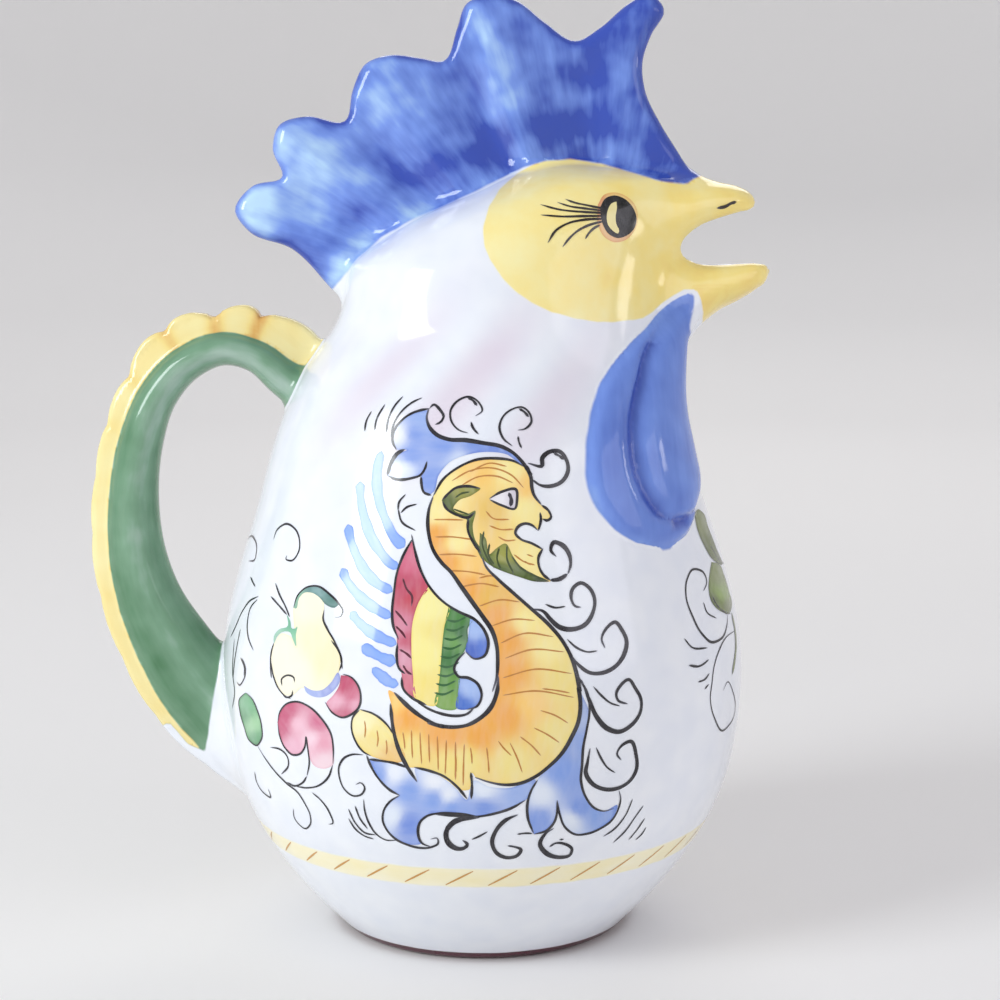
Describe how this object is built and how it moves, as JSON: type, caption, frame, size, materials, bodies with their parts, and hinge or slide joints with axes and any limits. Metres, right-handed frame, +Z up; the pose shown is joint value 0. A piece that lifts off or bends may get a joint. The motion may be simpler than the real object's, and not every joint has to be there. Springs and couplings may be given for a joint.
{
  "type": "pitcher",
  "caption": "Glazed earthenware pitcher shaped as a rooster: an egg-shaped body on a foot, a hollow head with an open beak as spout, a comb, wattles and an ear-shaped handle.",
  "frame": {"origin": "centre of the underside of the foot ring, on the body's axis", "axes": "+Z up along the body's axis, +X towards the beak, +Y to the bird's left"},
  "size_m": [0.1727, 0.1328, 0.235],
  "materials": {
    "white_glaze": "gloss",
    "cobalt_glaze": "gloss",
    "yellow_glaze": "gloss",
    "green_glaze": "gloss",
    "crest_glaze": "gloss"
  },
  "bodies": {
    "root": {"body_shell": "white_glaze", "foot_ring": "white_glaze", "head_shell": "white_glaze", "comb": "cobalt_glaze", "upper_beak": "yellow_glaze", "lower_beak": "yellow_glaze", "wattle_right": "cobalt_glaze", "wattle_left": "cobalt_glaze", "handle": "green_glaze", "handle_crest": "crest_glaze"}
  },
  "joints": []
}
